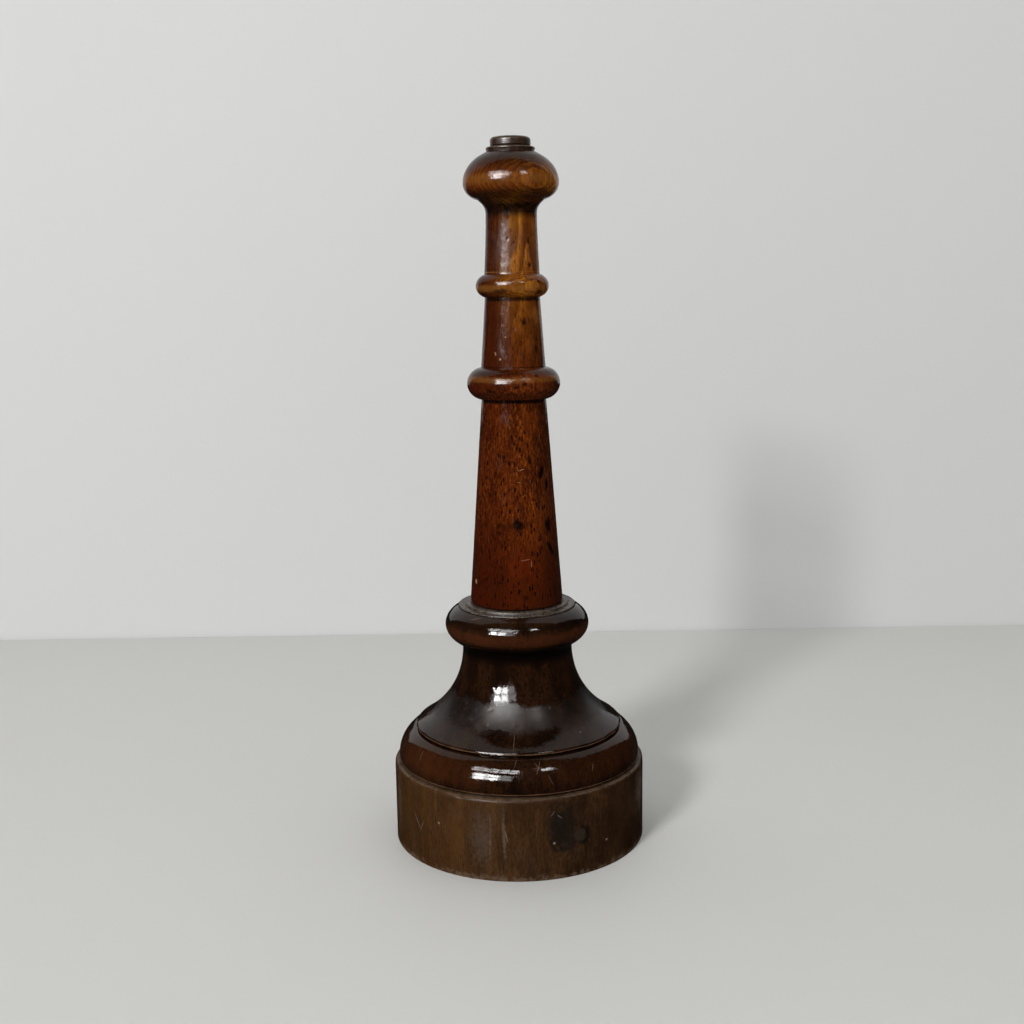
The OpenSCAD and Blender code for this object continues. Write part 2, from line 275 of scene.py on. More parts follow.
def wood_figure_group():
    """Growth rings round a pith beside the axis of turning, fibres, short ticks of grain, open
    pores, clouds of colour and flecks, each as a mask."""
    sizes = {"Pith X": 0.0, "Pith Y": 60.0, "Ring Spacing": 2.0, "Waviness": 6.0}
    masks = ["Rings", "Fibres", "Ticks", "Pores", "Clouds", "Fleck"]
    tree, given, out = new_group("wood_figure", sizes, masks)
    axes = axes_in_mm(tree)
    wander = minus(tree, blur(tree, place_in_mm(tree, 9), 16, 3), 0.5)
    reach = length(tree, minus(tree, axes[0], given["Pith X"]), minus(tree, axes[1], given["Pith Y"]))
    reach = plus(tree, reach, times(tree, wander, given["Waviness"]))
    step = calc(tree, "FRACT", calc(tree, "DIVIDE", reach, given["Ring Spacing"]))
    rings = times(tree, ramp(tree, step, 0.0, 0.82), ramp(tree, step, 0.86, 1.0, 1.0, 0.0))
    pore_spacing, smallest_pore, largest_pore = 1.5, 0.04, 0.46
    cells = new_node(
        tree, "ShaderNodeTexVoronoi", {"Vector": place_in_mm(tree, 2.6), "Scale": 1 / pore_spacing}
    )
    chosen = new_node(tree, "ShaderNodeSeparateColor", {0: cells.outputs["Color"]}).outputs
    pore_size = ramp(tree, chosen[0], 0.2, 1.0, smallest_pore, largest_pore)
    pores = ramp(tree, minus(tree, pore_size, cells.outputs["Distance"]), 0.0, 0.06)
    made = {
        "Rings": rings,
        "Fibres": blur(tree, place_in_mm(tree, 16), 0.55, 4, 0.65),
        "Ticks": blur(tree, place_in_mm(tree, 3), 1.15, 3, 0.75),
        "Pores": pores,
        "Clouds": blur(tree, place_in_mm(tree, 2.5), 14, 3, 0.55),
        "Fleck": blur(tree, place_in_mm(tree, 3), 2.6, 3, 0.7),
    }
    for label in masks:
        tree.links.new(made[label], out[label])
    return tree


def varnish_group():
    """The skin of an old finish: slow ripples, grain telegraphing through, lines left by the
    turning tool, fine crazing, and where it has gone dull."""
    sizes = {"Ripple": 0.05, "Grain": 0.02, "Tool Lines": 0.01, "Crazing": 0.0}
    tree, given, out = new_group("old_varnish", sizes, ["Height", "Dull"])
    where = place_in_mm(tree)
    ripple = times(tree, blur(tree, place_in_mm(tree, 1.8), 4.5, 3, 0.55), given["Ripple"])
    grain = times(tree, blur(tree, place_in_mm(tree, 12), 0.8, 3, 0.6), given["Grain"])
    flat = new_node(tree, "ShaderNodeVectorMath", {0: where, 1: (0.02, 0.02, 1)}, operation="MULTIPLY")
    lines = times(tree, blur(tree, flat.outputs[0], 0.7, 3, 0.6), given["Tool Lines"])
    cells = new_node(
        tree, "ShaderNodeTexVoronoi", {"Vector": where, "Scale": 0.9}, feature="DISTANCE_TO_EDGE"
    )
    cracks = times(tree, ramp(tree, cells.outputs["Distance"], 0.0, 0.09), given["Crazing"])
    height = plus(tree, plus(tree, ripple, grain), plus(tree, lines, cracks))
    tree.links.new(height, out["Height"])
    tree.links.new(ramp(tree, blur(tree, place_in_mm(tree, 2), 7, 4, 0.7), 0.48, 0.68), out["Dull"])
    return tree


mark_values = ("Azimuth", "Height", "Half Width", "Half Height", "Tilt", "Ragged", "Soft")


def mark_group():
    """One mark on a turned surface: a ragged patch at an azimuth, counted from the front, and a
    height, turned by a tilt."""
    tree, given, out = new_group("surface_mark", dict.fromkeys(mark_values, 1.0), ["Mask"])
    axes = axes_in_mm(tree)
    turn = calc(tree, "ARCTAN2", axes[0], times(tree, axes[1], -1.0))
    turn = minus(tree, turn, calc(tree, "RADIANS", given["Azimuth"]))
    across = times(tree, turn, length(tree, axes[0], axes[1]))
    up = minus(tree, axes[2], given["Height"])
    lean = calc(tree, "RADIANS", given["Tilt"])
    c, s = calc(tree, "COSINE", lean), calc(tree, "SINE", lean)
    u = plus(tree, times(tree, across, c), times(tree, up, s))
    v = minus(tree, times(tree, up, c), times(tree, across, s))
    u = calc(tree, "DIVIDE", u, given["Half Width"])
    v = calc(tree, "DIVIDE", v, given["Half Height"])
    rough = times(tree, minus(tree, blur(tree, place_in_mm(tree), 2.2, 4, 0.7), 0.5), given["Ragged"])
    far = plus(tree, length(tree, u, v), times(tree, rough, 4.0))
    edge = minus(tree, 1.0, given["Soft"])
    tree.links.new(ramp(tree, far, edge, 1.0, 1.0, 0.0), out["Mask"])
    return tree


def band_group():
    """A band round a turned surface at one height, broken up here and there."""
    sizes = {"Height": 0.0, "Half Width": 1.0, "Broken": 0.5}
    tree, given, out = new_group("height_band", sizes, ["Mask"])
    away = calc(tree, "ABSOLUTE", minus(tree, axes_in_mm(tree)[2], given["Height"]))
    away = calc(tree, "DIVIDE", away, given["Half Width"])
    gaps = ramp(tree, blur(tree, place_in_mm(tree), 5, 4, 0.7), 0.4, 0.62)
    gaps = times(tree, gaps, given["Broken"])
    mask = calc(tree, "SUBTRACT", ramp(tree, away, 0.2, 1.0, 1.0, 0.0), gaps, clamp=True)
    tree.links.new(mask, out["Mask"])
    return tree


def side_group():
    """How far a point of a turned piece faces one azimuth, counted from the front: 0 up to Start
    and 1 from End, where 1.0 faces it squarely and -1.0 is the far side."""
    sizes = {"Azimuth": 0.0, "Start": -0.4, "End": 1.0, "Wander": 0.4}
    tree, given, out = new_group("faces_side", sizes, ["Mask"])
    axes = axes_in_mm(tree)
    radius = calc(tree, "MAXIMUM", length(tree, axes[0], axes[1]), 1.0)
    turn = calc(tree, "RADIANS", given["Azimuth"])
    side = times(tree, axes[0], calc(tree, "SINE", turn))
    front = times(tree, axes[1], calc(tree, "COSINE", turn))
    facing = calc(tree, "DIVIDE", minus(tree, side, front), radius)
    drift = minus(tree, blur(tree, place_in_mm(tree, 3), 9, 3, 0.6), 0.5)
    facing = plus(tree, facing, times(tree, drift, times(tree, given["Wander"], 2.0)))
    tree.links.new(ramp(tree, facing, given["Start"], given["End"]), out["Mask"])
    return tree


wood_figure = wood_figure_group()
old_varnish = varnish_group()
surface_mark = mark_group()
height_band = band_group()
faces_side = side_group()


def new_material(name):
    """An empty material with its Principled shader wired to the output."""
    made = bpy.data.materials.new(name)
    made.use_nodes = True
    made.node_tree.nodes.clear()
    shader = made.node_tree.nodes.new("ShaderNodeBsdfPrincipled")
    end = made.node_tree.nodes.new("ShaderNodeOutputMaterial")
    made.node_tree.links.new(shader.outputs[0], end.inputs[0])
    return made, made.node_tree, shader


def set_finish(tree, shader, colour, roughness, height, strength=1.0):
    """Colour, roughness and a bump height in mm, wired into the shader."""
    bump = new_node(tree, "ShaderNodeBump", {"Strength": strength, "Distance": mm, "Height": height})
    tree.links.new(colour, shader.inputs["Base Color"])
    tree.links.new(roughness, shader.inputs["Roughness"])
    tree.links.new(bump.outputs[0], shader.inputs["Normal"])


def band_mask(tree, height, half_width, broken):
    return placed(tree, height_band, Height=height, Half_Width=half_width, Broken=broken)["Mask"]


def side_mask(tree, azimuth, start, end, wander):
    return placed(tree, faces_side, Azimuth=azimuth, Start=start, End=end, Wander=wander)["Mask"]


def tinted(tree, colour, mask, strength, tint):
    """The colour with a tint laid over it where the mask is."""
    return mix(tree, times(tree, mask, strength), colour, tint)


def with_marks(tree, colour, marks):
    """The colour with marks laid over it: (azimuth, height, half width, half height, tilt,
    ragged, soft, strength, colour) each, in mm and degrees."""
    for *values, strength, tint in marks:
        mask = placed(tree, surface_mark, **dict(zip(mark_values, values)))["Mask"]
        colour = tinted(tree, colour, mask, strength, tint)
    return colour


def cup_wood():
    made, tree, shader = new_material("cup_wood")
    dark, brown, tawny = (0.02, 0.0078, 0.0026), (0.066, 0.029, 0.0092), (0.088, 0.037, 0.0085)
    dark_streak, dark_ring = (0.02, 0.0085, 0.0035), (0.026, 0.01, 0.004)
    pore_dirt, wear_and_rim_highlight = (0.009, 0.004, 0.002), (0.15, 0.105, 0.07)
    figure = placed(tree, wood_figure, Pith_X=30.0, Pith_Y=140.0, Ring_Spacing=3.2, Waviness=16.0)
    skin = placed(tree, old_varnish, Ripple=0.05, Grain=0.05, Tool_Lines=0.01)
    grainy = plus(tree, times(tree, figure["Clouds"], 0.5), times(tree, figure["Ticks"], 0.5))
    colour = mix(tree, ramp(tree, grainy, 0.4, 0.62), dark, brown)
    colour = tinted(tree, colour, side_mask(tree, -42.0, 0.35, 1.1, 0.25), 0.55, tawny)
    colour = tinted(tree, colour, ramp(tree, figure["Fibres"], 0.4, 0.62), 0.42, dark_streak)
    colour = tinted(tree, colour, figure["Rings"], 0.3, dark_ring)
    colour = tinted(tree, colour, figure["Pores"], 0.32, pore_dirt)
    # paler at the foot from wear, and round the rim: wear with a painted highlight along its rounded edge
    foot, rim = band_mask(tree, 0.0, 5.0, 1.0), band_mask(tree, cup_h - 0.2, 1.1, 0.7)
    worn = calc(tree, "MAXIMUM", times(tree, foot, 0.55), times(tree, rim, 0.45))
    colour = mix(tree, worn, colour, wear_and_rim_highlight)
    colour = with_marks(tree, colour, cup_marks)
    roughness = ramp(tree, skin["Dull"], 0.0, 1.0, 0.34, 0.55)
    set_finish(tree, shader, colour, roughness, skin["Height"])
    shader.inputs["Specular IOR Level"].default_value = 0.1
    return made


# a burnt patch with a ring left by something wet beside it, knocks, old scratches and wear, a painted
# reflection in grey streaks and a band left of the front, painted shade down the right side, and paler
# patches towards both sides
burnt, char, dried = (0.012, 0.008, 0.005), (0.006, 0.004, 0.003), (0.034, 0.022, 0.013)
bare, pale = (0.24, 0.19, 0.15), (0.17, 0.14, 0.11)
reflection_streak, reflection_band, orange, shaded = (
    (0.12, 0.085, 0.065), (0.085, 0.058, 0.042), (0.09, 0.036, 0.008), (0.02, 0.0085, 0.003)
)
paler_right, paler_left = (0.105, 0.078, 0.055), (0.09, 0.062, 0.04)
cup_marks = [
    (18, 30, 13.0, 19, 6, 0.45, 0.75, 0.95, burnt),
    (20, 22, 11.0, 11.0, 0, 0.5, 0.8, 0.85, burnt),
    (28, 23, 5.4, 6.4, 0, 0.25, 0.3, 0.85, char),
    (26.6, 23.4, 4.0, 4.8, 0, 0.25, 0.3, 0.8, dried),
    (14.5, 21, 1.0, 0.8, 0, 0.4, 0.4, 0.9, bare),
    (41, 16, 0.9, 0.7, 20, 0.4, 0.4, 0.9, bare),
    (-38, 28, 1.0, 0.6, -30, 0.4, 0.4, 0.8, bare),
    (-52, 24, 0.35, 7.0, 35, 0.2, 0.6, 0.7, pale),
    (-49, 22, 0.3, 6.0, -25, 0.2, 0.6, 0.6, pale),
    (-6, 26, 0.35, 4.5, 12, 0.2, 0.6, 0.7, pale),
    (14, 38, 2.4, 0.3, 50, 0.3, 0.6, 0.6, pale),
    (17, 36, 2.4, 0.3, -40, 0.3, 0.6, 0.6, pale),
    # painted reflection: grey streaks and a band where a window shows in the semi-matt finish
    (-7, 26, 1.4, 19, 2, 0.5, 0.9, 0.55, reflection_streak),
    (-13, 25, 1.0, 17, 0, 0.5, 0.9, 0.45, reflection_streak),
    (-17, 24, 8.0, 22, 0, 0.5, 0.95, 0.5, reflection_band),
    (-30, 22, 9.0, 26, 0, 0.6, 0.9, 0.4, orange),
    # painted shade: the right side of the plinth darkened
    (48, 20, 9.0, 26, 0, 0.6, 0.9, 0.55, shaded),
    # paler patches towards the right and left sides
    (72, 33, 13, 15, 0, 0.7, 0.8, 0.85, paler_right),
    (-72, 28, 7, 22, 0, 0.7, 0.8, 0.45, paler_left),
]

cup_outside = filled(
    [(recess_r + 1.5, 0.0)]
    + arc(cup_r - foot_round, foot_round, foot_round, foot_round, -90, 0, 5)
    + arc(cup_r - rim_round, cup_h - rim_round, rim_round, rim_round, 0, 90, 8)
    + [(cup_in, cup_h)],
    1.0,
)
cup_inside = filled(
    [(cup_in, cup_h - 0.7)]
    + arc(cup_in - corner_round, cup_floor + corner_round, corner_round, corner_round, 0, -90, 8)
    + [(0, cup_floor), (0, recess_h), (recess_r, recess_h)],
    6,
)
cup_knocks = dents(11, 60, 1, cup_h, lambda z: cup_r, (0.8, 2.6), (0.1, 0.4))


def cup_lost(p):
    """Wear all over, more of it round the rim, and knocks; none on the foot it stands on."""
    worn = 0.16 * unevenness(p, 34) + 0.05 * unevenness(p, 3.2, 6)
    worn += 0.5 * smooth(unevenness(p, 9), 0.55, 0.9) * smooth(p.z, 42, 47)
    return (worn + dented(p, cup_knocks)) * smooth(p.z, 0.0, 0.6)


receiver_cup = turned("receiver_cup_wood", cup_outside, cup_inside, 288, cup_lost)
receiver_cup.data.materials.append(cup_wood())
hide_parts("receiver_cup")
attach(receiver_cup, "cup")


# --- Bell body ----------------------------------------------------------------------
# One piece of wood stained almost black and varnished: spigot, quarter-round moulding,
# bell, neck and torus. It is bored through and holds the peppercorns and the grinder.

spigot_r, spigot_low = 60.0, 35.0
ledge_low, ledge_high = 47.2, 48.1
ovolo_r, ovolo_z, ovolo_a, ovolo_b, ovolo_high = 70.5, 50.2, 20.1, 18.4, 65.6
groove_r, groove_low, groove_high = 59.0, 65.9, 66.8
bell_r, bell_z = 60.1, 67.1
neck_r, neck_z = 31.8, 114.5
torus_r, torus_z, torus_a, torus_b = 41.7, 127, 15.7, 12
collar_r, rebate_z = 33.9, 134.0
chamber_r, chamber_low = 21, 68.54
ring_bore, flange_bore, flange_high = 24.04, 31.0, 42.0


def curve(p0, p1, p2, p3, count):
    """Points along a cubic curve from p0 to p3, leaving towards p1 and arriving from p2."""
    run = []
    for i in range(count + 1):
        t, u = i / count, 1 - i / count
        weights = (u * u * u, 3 * u * u * t, 3 * u * t * t, t * t * t)
        run.append(tuple(sum(w * p[k] for w, p in zip(weights, (p0, p1, p2, p3))) for k in (0, 1)))
    return run


def angle_at_x(cx, rx, x):
    """Angle on an elliptical arc at which it reaches the radius x."""
    return math.degrees(math.acos((x - cx) / rx))


def angle_at_z(cz, rz, z):
    """Angle on an elliptical arc at which it reaches the height z."""
    return math.degrees(math.asin((z - cz) / rz))


nose_r, nose_degrees, nose_reach = 1.8, 59, 22.5
nose_turn = math.radians(nose_degrees)
nose_end = (bell_r - nose_r + nose_r * math.cos(nose_turn), bell_z + nose_r * math.sin(nose_turn))
nose_out = (
    nose_end[0] - nose_reach * math.sin(nose_turn),
    nose_end[1] + nose_reach * math.cos(nose_turn),
)
torus_mid = torus_r - torus_a
rebate_r = collar_r + 0.04
body_outside = filled(
    [
        (spigot_r - 1, spigot_low), (spigot_r, spigot_low + 1), (spigot_r, ledge_low),
        (69.2, ledge_low), (69.2, ledge_high),
    ]
    + arc(
        ovolo_r - ovolo_a, ovolo_z, ovolo_a, ovolo_b,
        angle_at_z(ovolo_z, ovolo_b, ledge_high), angle_at_z(ovolo_z, ovolo_b, ovolo_high), 40,
    )
    + [(groove_r, groove_low), (groove_r, groove_high)]
    + arc(bell_r - nose_r, bell_z, nose_r, nose_r, 0, nose_degrees, 8)
    + curve(nose_end, nose_out, (neck_r, neck_z - 18), (neck_r, neck_z), 80)
    + [(neck_r + 0.4, neck_z + 1.1)]
    + arc(
        torus_mid, torus_z, torus_a, torus_b,
        -angle_at_x(torus_mid, torus_a, neck_r + 1.6), angle_at_x(torus_mid, torus_a, rebate_r), 70,
    ),
    0.9,
)
body_inside = filled(
    [
        (rebate_r, rebate_z), (chamber_r, rebate_z), (chamber_r, chamber_low),
        (ring_bore, chamber_low), (ring_bore, flange_high), (flange_bore, flange_high),
        (flange_bore, spigot_low), (spigot_r - 1.5, spigot_low),
    ],
    7,
)


def body_radius(z):
    """Rough radius of the outside of the body at a height."""
    return min(body_outside, key=lambda p: abs(p[1] - z) + 0.01 * (80 - p[0]))[0]


body_knocks = dents(23, 90, 49, 138, body_radius, (0.5, 1.7), (0.05, 0.22))


def body_lost(p):
    """Wear all over, more of it on the edge above the moulding, and knocks; none in the cup."""
    worn = 0.1 * unevenness(p, 26) + 0.035 * unevenness(p, 4.0, 2) + 0.018 * unevenness(p, 1.8)
    edge = smooth(p.z, 65.6, 66.9) * smooth(p.z, 69.2, 67.6)
    worn += 0.32 * smooth(unevenness(p, 6), 0.5, 0.85) * edge
    return (worn + dented(p, body_knocks)) * smooth(p.z, 47.3, 48.4)


def dark_wood():
    made, tree, shader = new_material("dark_wood")
    near_black, dark_brown = (0.007, 0.0028, 0.0013), (0.022, 0.0085, 0.0034)
    red_fleck, red_painted_light, warm_brown = (0.044, 0.0125, 0.0034), (0.06, 0.0165, 0.0042), (0.06, 0.017, 0.006)
    dark_tick, dark_streak = (0.004, 0.0018, 0.001), (0.006, 0.0022, 0.001)
    pore_dirt, groove_dark = (0.003, 0.0015, 0.001), (0.003, 0.0018, 0.001)
    edge_wear_and_highlight, shade = (0.125, 0.064, 0.034), (0.0022, 0.0012, 0.0008)
    figure = placed(tree, wood_figure, Pith_X=-20.0, Pith_Y=90.0, Ring_Spacing=2.6, Waviness=12.0)
    skin = placed(tree, old_varnish, Ripple=0.1, Grain=0.012, Tool_Lines=0.01)
    colour = mix(tree, ramp(tree, figure["Clouds"], 0.35, 0.65), near_black, dark_brown)
    colour = tinted(tree, colour, ramp(tree, figure["Fleck"], 0.52, 0.66), 0.38, red_fleck)
    colour = tinted(tree, colour, ramp(tree, figure["Ticks"], 0.46, 0.34), 0.7, dark_tick)
    colour = tinted(tree, colour, ramp(tree, figure["Fibres"], 0.45, 0.66), 0.5, dark_streak)
    colour = tinted(tree, colour, figure["Pores"], 0.6, pore_dirt)
    # painted light: the moulding is lighter and redder on its lit flanks to the left and right
    for azimuth, strength in ((-48, 0.6), (52, 0.35)):
        lit = side_mask(tree, azimuth, 0.7, 1.05, 0.3)
        moulding = band_mask(tree, 58.0, 11.0, 0.25)
        colour = tinted(tree, colour, times(tree, lit, moulding), strength, red_painted_light)
    colour = tinted(tree, colour, band_mask(tree, torus_z - 1.5, 6.0, 0.35), 0.7, warm_brown)
    # paler lines on the bell's lower edge, the bead and the torus top: wear with a painted highlight
    for height, half, strength in ((67.4, 0.55, 0.8), (48.5, 0.6, 0.75), (138.2, 0.5, 0.5)):
        colour = tinted(tree, colour, band_mask(tree, height, half, 0.45), strength, edge_wear_and_highlight)
    for height, half, strength in ((115.5, 8.5, 1.0), (132.5, 2.2, 0.4)):
        colour = tinted(tree, colour, band_mask(tree, height, half, 0.0), strength, shade)
    # the groove above the moulding is painted near black
    colour = mix(tree, band_mask(tree, 66.2, 0.7, 0.0), colour, groove_dark)
    colour = with_marks(tree, colour, body_marks)
    # grease and dust have settled on the spread of the bell and dull it
    drift = times(tree, minus(tree, figure["Clouds"], 0.5), 14.0)
    height = plus(tree, axes_in_mm(tree)[2], drift)
    settled = times(tree, ramp(tree, height, 91, 86), ramp(tree, height, 72, 78))
    roughness = plus(tree, ramp(tree, skin["Dull"], 0.0, 1.0, 0.05, 0.15), times(tree, settled, 0.28))
    set_finish(tree, shader, colour, roughness, skin["Height"])
    shader.inputs["Specular IOR Level"].default_value = 0.3
    return made


# nicks and scratches that show the paler wood under the stain
nick = (0.16, 0.1, 0.065)
body_marks = [
    (9, 62, 4.0, 0.22, 62, 0.15, 0.4, 0.55, nick),
    (9, 62, 3.6, 0.22, -50, 0.15, 0.4, 0.55, nick),
    (9, 62, 3.2, 0.2, 5, 0.15, 0.4, 0.5, nick),
    (-2, 64, 2.6, 0.18, 70, 0.15, 0.4, 0.48, nick),
    (14, 56, 3.4, 0.2, -66, 0.15, 0.4, 0.48, nick),
    (-3, 72, 0.22, 4.0, -4, 0.1, 0.4, 0.5, nick),
    (-40, 136, 3.6, 0.3, 14, 0.3, 0.5, 0.48, nick),
    (26, 86, 0.6, 0.5, 0, 0.4, 0.4, 0.5, nick),
    (-22, 79, 0.5, 0.8, 20, 0.4, 0.4, 0.48, nick),
    (41, 73, 0.8, 0.4, 10, 0.4, 0.4, 0.48, nick),
    (-55, 60, 0.3, 3.0, 15, 0.4, 0.4, 0.48, nick),
    (36, 58, 0.3, 2.6, -30, 0.4, 0.4, 0.48, nick),
]

bell_body = turned("bell_body_wood", body_outside, body_inside, 288, body_lost)
bell_body.data.materials.append(dark_wood())
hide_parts("bell_body")
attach(bell_body, "mill_body")


# --- Seat collar --------------------------------------------------------------------
# A thin stepped ring let into the top of the torus and glued. The foot of the column turns
# on it, so its top is rubbed grey.

collar_low, collar_high, collar_bore, collar_round = 134.04, 139.7, 21.3, 0.8
collar_outside = filled(
    [(collar_bore, collar_low), (collar_r, collar_low)]
    + arc(collar_r - collar_round, 137.8, collar_round, collar_round, 0, 90, 6)
    + [(30.0, 138.5), (29.8, 139.4), (29.4, collar_high), (collar_bore, collar_high)],
    0.9,
)


def collar_lost(p):
    """Wear on the top and the rim, and none where the column's foot hides it."""
    return 0.05 * unevenness(p, 3) * smooth(p.z, 136, 138) * smooth(math.hypot(p.x, p.y), 27.6, 28.6)


def collar_wood():
    made, tree, shader = new_material("collar_wood")
    dark_edge, rubbed_grey, chip = (0.012, 0.0045, 0.002), (0.085, 0.062, 0.046), (0.36, 0.3, 0.24)
    where = place_in_mm(tree)
    skin = placed(tree, old_varnish, Ripple=0.08, Grain=0.06, Tool_Lines=0.05, Crazing=0.03)
    scuffed = ramp(tree, blur(tree, where, 2.6, 4, 0.75), 0.42, 0.6)
    top = ramp(tree, axes_in_mm(tree)[2], 137.4, 138.2)
    top = times(tree, top, ramp(tree, scuffed, 0.0, 1.0, 0.35, 0.95))
    colour = mix(tree, top, dark_edge, rubbed_grey)
    colour = mix(tree, ramp(tree, blur(tree, where, 0.8, 2, 0.5), 0.66, 0.72), colour, chip)
    set_finish(tree, shader, colour, ramp(tree, top, 0.0, 1.0, 0.12, 0.42), skin["Height"])
    shader.inputs["Specular IOR Level"].default_value = 0.34
    return made


seat_collar = turned("seat_collar_wood", collar_outside, [(collar_bore, 137.0)], 200, collar_lost)
seat_collar.data.materials.append(collar_wood())
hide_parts("seat_collar")
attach(seat_collar, "mill_body")


# --- Grinder ------------------------------------------------------------------------
# Cast iron, blackened with oil: a ribbed ring screwed up into the body, the strap across it
# that guides the spindle, the ridged cone that turns inside and the plate that drives them.
# The steel screws, rivets and pins and the brass washer and nut insert are finished here too.


def iron():
    """Blackened cast iron with a fine grit and rust in patches."""
    made, tree, shader = new_material("grinder_iron")
    black_iron, grey_iron, rust_brown = (0.052, 0.05, 0.048), (0.135, 0.13, 0.125), (0.105, 0.042, 0.018)
    where = place_in_mm(tree)
    grit = blur(tree, where, 0.6, 4, 0.7)
    rust = ramp(tree, blur(tree, where, 5, 4, 0.65), 0.55, 0.72)
    colour = tinted(tree, mix(tree, grit, black_iron, grey_iron), rust, 0.5, rust_brown)
    tree.links.new(ramp(tree, rust, 0.0, 1.0, 0.9, 0.35), shader.inputs["Metallic"])
    set_finish(tree, shader, colour, ramp(tree, grit, 0.3, 0.8, 0.38, 0.62), times(tree, grit, 0.12))
    return made


def turned_metal(name, shine, shadow, tarnish, roughness):
    """Turned or drawn metal with fine lines round it and tarnish in patches."""
    made, tree, shader = new_material(name)
    where = place_in_mm(tree)
    lines = new_node(tree, "ShaderNodeVectorMath", {0: where, 1: (0.15, 0.15, 3)}, operation="MULTIPLY")
    fine = blur(tree, lines.outputs[0], 0.4, 3, 0.6)
    spots = ramp(tree, blur(tree, where, 2.4, 4, 0.7), 0.45, 0.7)
    colour = tinted(tree, mix(tree, fine, shine, shadow), spots, 0.6, tarnish)
    shader.inputs["Metallic"].default_value = 1.0
    rough = ramp(tree, spots, 0.0, 1.0, roughness, roughness + 0.2)
    set_finish(tree, shader, colour, rough, times(tree, fine, 0.02))
    return made


grinder_iron = iron()
screw_steel = turned_metal("screw_steel", (0.46, 0.45, 0.43), (0.3, 0.29, 0.28), (0.12, 0.09, 0.065), 0.28)
brass = turned_metal("brass", (0.66, 0.45, 0.18), (0.5, 0.33, 0.12), (0.2, 0.12, 0.05), 0.26)


def finish_nodes(material, *nodes):
    """CAD nodes whose shape is already right take a material."""
    for label in nodes:
        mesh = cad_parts[label].data
        mesh.materials.clear()
        mesh.materials.append(material)


finish_nodes(grinder_iron, "grinding_ring", "spindle_bridge", "grinding_cone", "drive_plate")
finish_nodes(screw_steel, "ring_screws", "bridge_rivets", "cone_washer", "cone_pin")
finish_nodes(screw_steel, "drive_screws", "washer_pins")
finish_nodes(brass, "spring_washer", "nut_insert")


# --- Spindle spring -----------------------------------------------------------------
# Steel wire wound in four open turns. It pushes the cone down to open the grind: its top end
# bears on the brass washer and its lower end rises and sinks with the cone.

wire_r, coil_r, coil_turns = 0.6, 6.0, 4
wire_sides, steps_a_turn = 10, 48
coil_low, coil_high = (corner[2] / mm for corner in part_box("spindle_spring"))
coil_low, coil_high = coil_low + wire_r, coil_high - wire_r


def wound_wire(name):
    """A closed tube along the coil, from its low end up."""
    verts, faces = [], []
    steps = steps_a_turn * coil_turns
    rise = (coil_high - coil_low) / (2 * math.pi * coil_turns)
    for i in range(steps + 1):
        a = 2 * math.pi * i / steps_a_turn
        out = Vector((math.cos(a), math.sin(a), 0))
        along = Vector((-coil_r * math.sin(a), coil_r * math.cos(a), rise)).normalized()
        across = along.cross(out)
        centre = out * coil_r + Vector((0, 0, coil_low + rise * a))
        for k in range(wire_sides):
            b = 2 * math.pi * k / wire_sides
            verts.append((centre + (out * math.cos(b) + across * math.sin(b)) * wire_r) * mm)
    for i in range(steps):
        low, high = i * wire_sides, (i + 1) * wire_sides
        for k in range(wire_sides):
            n = (k + 1) % wire_sides
            faces.append((low + k, low + n, high + n, high + k))
    faces.append(tuple(reversed(range(wire_sides))))
    faces.append(tuple(range(steps * wire_sides, (steps + 1) * wire_sides)))
    return new_piece(name, verts, faces, 60)


spindle_spring = wound_wire("spindle_spring_wire")
spindle_spring.data.materials.append(screw_steel)
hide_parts("spindle_spring")
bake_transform(spindle_spring)


# --- Spindle ------------------------------------------------------------------------
# A drawn iron bar: round where it turns in the bridge, square up through the column, and
# threaded at the top for the finial nut. A pin through it near the foot carries the cone.

square_half, corner_r, square_low = 3.5, 4.7, 70.0
spindle_foot, spindle_top = 36.5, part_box("spindle")[1][2] / mm
shank_r, bar_r, thread_r = 4.0, 4.95, 3.3
thread_low, thread_pitch, thread_depth = 384.0, 1.0, 0.5


def spindle_lost(p):
    """How far the round blank is cut in: the thread, the flats of the square, then wear."""
    a, r = math.atan2(p.y, p.x), math.hypot(p.x, p.y)
    if r < 1.0:
        return 0.0
    if p.z > thread_low + 0.2:
        turn = (p.z / thread_pitch - a / (2 * math.pi)) % 1.0
        return thread_depth * abs(2 * turn - 1) * smooth(spindle_top - p.z, 0.2, 0.9)
    if square_low < p.z <= thread_low:
        flat = square_half / max(abs(math.cos(a)), abs(math.sin(a)))
        return r - min(flat, corner_r) + 0.02 * unevenness(p, 2, 4)
    return 0.03 * unevenness(p, 3)


spindle_outside = (
    [(0, spindle_foot), (shank_r - 0.4, spindle_foot), (shank_r, spindle_foot + 0.4)]
    + filled([(shank_r, spindle_foot + 1), (shank_r, square_low - 0.02)], 4)
    + filled([(bar_r, square_low + 0.02), (bar_r, thread_low)], 6)
    + filled(
        [(thread_r, thread_low + 0.05), (thread_r, spindle_top - 0.4), (2.6, spindle_top)],
        thread_pitch / 8,
    )
    + [(0, spindle_top)]
)
spindle_steel = turned_metal("spindle_steel", (0.34, 0.33, 0.31), (0.22, 0.21, 0.2), (0.1, 0.075, 0.06), 0.34)
spindle = turned("spindle_bar", spindle_outside, [], 64, spindle_lost)
spindle.data.materials.append(spindle_steel)
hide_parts("spindle")
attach(spindle, "spindle")


# --- Column -------------------------------------------------------------------------
# The tall column is the mill's crank, turned in one piece with the knob from red-brown wood
# under thick old varnish. It is bored for the spindle and turns on the seat collar.

